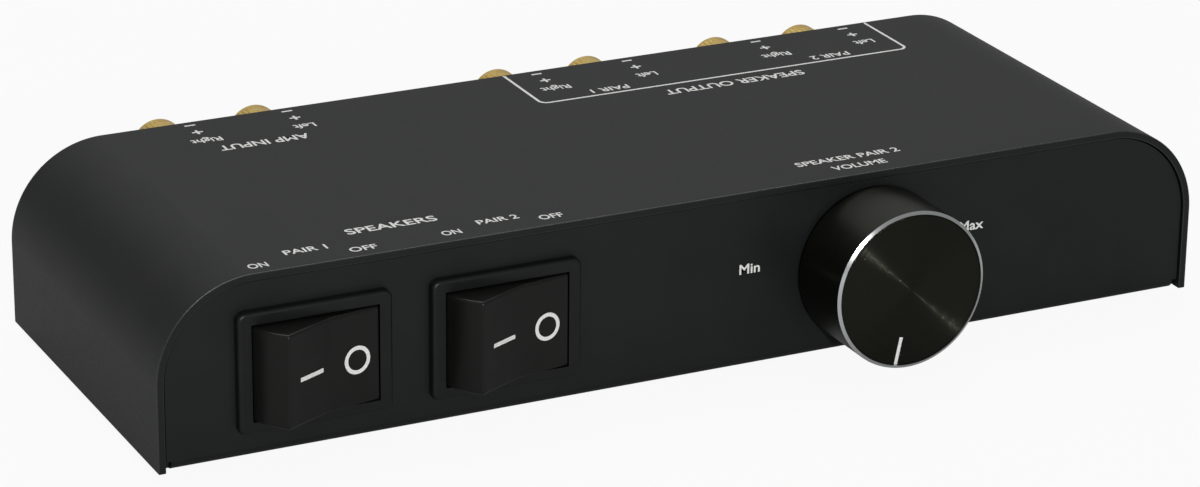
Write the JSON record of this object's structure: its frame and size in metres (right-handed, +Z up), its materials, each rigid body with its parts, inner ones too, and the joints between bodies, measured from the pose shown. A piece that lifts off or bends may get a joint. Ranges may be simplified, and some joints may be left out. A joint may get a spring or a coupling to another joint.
{
  "type": "speaker selector switch",
  "caption": "Low metal box with rounded upper edges, wide rocker switches and a large volume knob in front, gold binding posts behind.",
  "frame": {"origin": "under the middle of the whole object, on the surface it stands on", "axes": "+X to the right seen from the front, +Y from the front panel to the rear, +Z up"},
  "size_m": [0.2242, 0.1174, 0.0389],
  "materials": {
    "cover_paint": "satin dark grey powder coat",
    "panel_paint": "satin near-black paint",
    "zinc_steel": "bright zinc",
    "black_screw": "black oxide",
    "foot_rubber": "matt black",
    "knob_anodised": "black anodised, turned, bright chamfer",
    "insert_plastic": "natural acetal",
    "turned_aluminium": "turned",
    "nut_brass": "bright",
    "contact_brass": "tinned",
    "phenolic_board": "phenolic board",
    "switch_plastic": "black moulded, fine satin",
    "rocker_plastic": "black moulded, semi-gloss",
    "core_steel": "varnished laminations",
    "bobbin_plastic": "moulded nylon",
    "copper_wire": "enamelled copper",
    "gold_plate": "gold-plated brass",
    "collar_red": "red moulded",
    "collar_black": "black moulded",
    "bush_plastic": "black moulded"
  },
  "bodies": {
    "case": {"base_screws": "black_screw", "chassis": "panel_paint", "click_cup": "zinc_steel", "click_spring": "contact_brass", "control_bushing": "zinc_steel", "control_nut": "nut_brass", "control_screw_nuts": "zinc_steel", "control_screws": "zinc_steel", "control_spacers": "turned_aluminium", "control_wafers": "phenolic_board", "control_washer": "zinc_steel", "left_cover_bracket": "zinc_steel", "left_transformer_bobbin": "bobbin_plastic", "left_transformer_core": "core_steel", "left_transformer_winding": "copper_wire", "negative_collars": "collar_black", "positive_collars": "collar_red", "post_bushes": "bush_plastic", "post_nuts": "nut_brass", "post_studs": "gold_plate", "right_cover_bracket": "zinc_steel", "right_transformer_bobbin": "bobbin_plastic", "right_transformer_core": "core_steel", "right_transformer_winding": "copper_wire", "rubber_feet": "foot_rubber", "solder_tags": "contact_brass", "switch_housing_1": "switch_plastic", "switch_housing_2": "switch_plastic", "switch_terminals_1": "contact_brass", "switch_terminals_2": "contact_brass", "top_cover": "cover_paint", "transformer_nuts": "zinc_steel", "transformer_screws": "black_screw", "transformer_standoffs": "turned_aluminium", "wafer_contacts": "contact_brass"},
    "rocker_1": {"rocker_1": "rocker_plastic", "rocker_plungers_1": "insert_plastic"},
    "contacts_1": {"contact_blades_1": "contact_brass"},
    "rocker_2": {"rocker_2": "rocker_plastic", "rocker_plungers_2": "insert_plastic"},
    "contacts_2": {"contact_blades_2": "contact_brass"},
    "volume_control": {"volume_knob": "knob_anodised", "knob_insert": "insert_plastic", "control_shaft": "turned_aluminium", "click_wheel": "insert_plastic", "rotor_contacts": "contact_brass"},
    "cap_input_left_negative": {"cap_input_left_negative": "gold_plate"},
    "cap_input_left_positive": {"cap_input_left_positive": "gold_plate"},
    "cap_input_right_negative": {"cap_input_right_negative": "gold_plate"},
    "cap_input_right_positive": {"cap_input_right_positive": "gold_plate"},
    "cap_pair_1_left_negative": {"cap_pair_1_left_negative": "gold_plate"},
    "cap_pair_1_left_positive": {"cap_pair_1_left_positive": "gold_plate"},
    "cap_pair_1_right_negative": {"cap_pair_1_right_negative": "gold_plate"},
    "cap_pair_1_right_positive": {"cap_pair_1_right_positive": "gold_plate"},
    "cap_pair_2_left_negative": {"cap_pair_2_left_negative": "gold_plate"},
    "cap_pair_2_left_positive": {"cap_pair_2_left_positive": "gold_plate"},
    "cap_pair_2_right_negative": {"cap_pair_2_right_negative": "gold_plate"},
    "cap_pair_2_right_positive": {"cap_pair_2_right_positive": "gold_plate"}
  },
  "joints": [
    {"name": "rocker_1_tilt", "type": "hinge", "parent": "case", "child": "rocker_1", "pos_m": [-0.081, -0.04035, 0.0195], "axis": [0, 0, -1], "range_deg": [0, 36]},
    {"name": "contacts_1_tilt", "type": "hinge", "parent": "case", "child": "contacts_1", "pos_m": [-0.081, -0.03105, 0.0195], "axis": [0, 0, 1], "range_deg": [0, 18]},
    {"name": "rocker_2_tilt", "type": "hinge", "parent": "case", "child": "rocker_2", "pos_m": [-0.0419, -0.04035, 0.0195], "axis": [0, 0, -1], "range_deg": [0, 36]},
    {"name": "contacts_2_tilt", "type": "hinge", "parent": "case", "child": "contacts_2", "pos_m": [-0.0419, -0.03105, 0.0195], "axis": [0, 0, 1], "range_deg": [0, 18]},
    {"name": "volume_turn", "type": "hinge", "parent": "case", "child": "volume_control", "pos_m": [0.0374, -0.05875, 0.0198], "axis": [0, 1, 0], "range_deg": [0, 330]},
    {"name": "cap_input_right_negative_unscrew", "type": "slide", "parent": "case", "child": "cap_input_right_negative", "axis": [0, 1, 0], "range_m": [0, 0.005]},
    {"name": "cap_input_right_positive_unscrew", "type": "slide", "parent": "case", "child": "cap_input_right_positive", "axis": [0, 1, 0], "range_m": [0, 0.005]},
    {"name": "cap_input_left_negative_unscrew", "type": "slide", "parent": "case", "child": "cap_input_left_negative", "axis": [0, 1, 0], "range_m": [0, 0.005]},
    {"name": "cap_input_left_positive_unscrew", "type": "slide", "parent": "case", "child": "cap_input_left_positive", "axis": [0, 1, 0], "range_m": [0, 0.005]},
    {"name": "cap_pair_1_right_negative_unscrew", "type": "slide", "parent": "case", "child": "cap_pair_1_right_negative", "axis": [0, 1, 0], "range_m": [0, 0.005]},
    {"name": "cap_pair_1_right_positive_unscrew", "type": "slide", "parent": "case", "child": "cap_pair_1_right_positive", "axis": [0, 1, 0], "range_m": [0, 0.005]},
    {"name": "cap_pair_1_left_negative_unscrew", "type": "slide", "parent": "case", "child": "cap_pair_1_left_negative", "axis": [0, 1, 0], "range_m": [0, 0.005]},
    {"name": "cap_pair_1_left_positive_unscrew", "type": "slide", "parent": "case", "child": "cap_pair_1_left_positive", "axis": [0, 1, 0], "range_m": [0, 0.005]},
    {"name": "cap_pair_2_right_negative_unscrew", "type": "slide", "parent": "case", "child": "cap_pair_2_right_negative", "axis": [0, 1, 0], "range_m": [0, 0.005]},
    {"name": "cap_pair_2_right_positive_unscrew", "type": "slide", "parent": "case", "child": "cap_pair_2_right_positive", "axis": [0, 1, 0], "range_m": [0, 0.005]},
    {"name": "cap_pair_2_left_negative_unscrew", "type": "slide", "parent": "case", "child": "cap_pair_2_left_negative", "axis": [0, 1, 0], "range_m": [0, 0.005]},
    {"name": "cap_pair_2_left_positive_unscrew", "type": "slide", "parent": "case", "child": "cap_pair_2_left_positive", "axis": [0, 1, 0], "range_m": [0, 0.005]}
  ],
  "couplings": [
    {"joint": "contacts_1_tilt", "follows": "rocker_1_tilt", "ratio": 0.5},
    {"joint": "contacts_2_tilt", "follows": "rocker_2_tilt", "ratio": 0.5}
  ]
}
